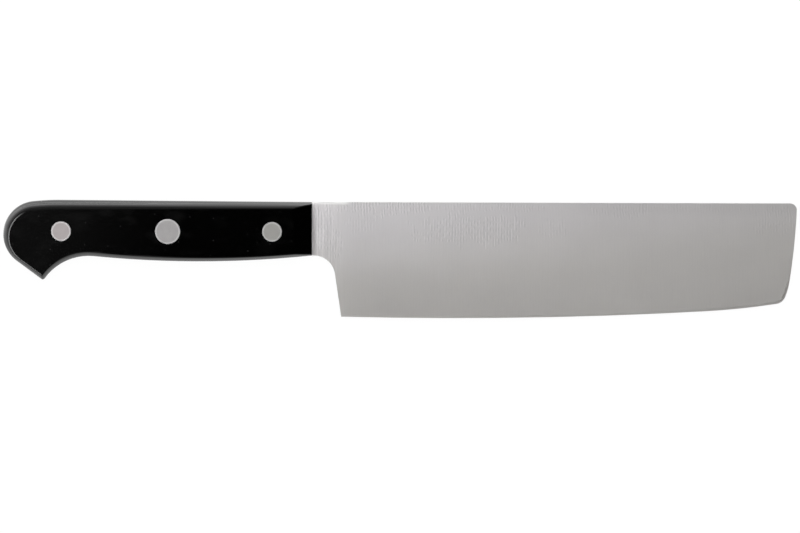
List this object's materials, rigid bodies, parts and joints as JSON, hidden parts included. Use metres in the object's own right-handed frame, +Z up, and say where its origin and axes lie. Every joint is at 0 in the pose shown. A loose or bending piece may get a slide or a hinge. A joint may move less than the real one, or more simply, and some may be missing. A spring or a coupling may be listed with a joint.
{
  "type": "nakiri knife",
  "caption": "Rectangular vegetable knife with a ground blade, a full tang and black handle scales held by flush rivets.",
  "frame": {"origin": "on the plane the lower side of the handle rests on, under the middle of the knife's outline", "axes": "+X from the handle to the tip of the blade, +Y from the cutting edge to the spine, +Z up through the handle's thickness"},
  "size_m": [0.2965, 0.0438, 0.015],
  "materials": {
    "blade_steel": "satin",
    "black_plastic": "satin",
    "rivet_steel": "satin"
  },
  "bodies": {
    "root": {"blade": "blade_steel", "upper_scale": "black_plastic", "lower_scale": "black_plastic", "rear_rivet_post": "rivet_steel", "rear_rivet_socket": "rivet_steel", "middle_rivet_post": "rivet_steel", "middle_rivet_socket": "rivet_steel", "front_rivet_post": "rivet_steel", "front_rivet_socket": "rivet_steel"}
  },
  "joints": []
}
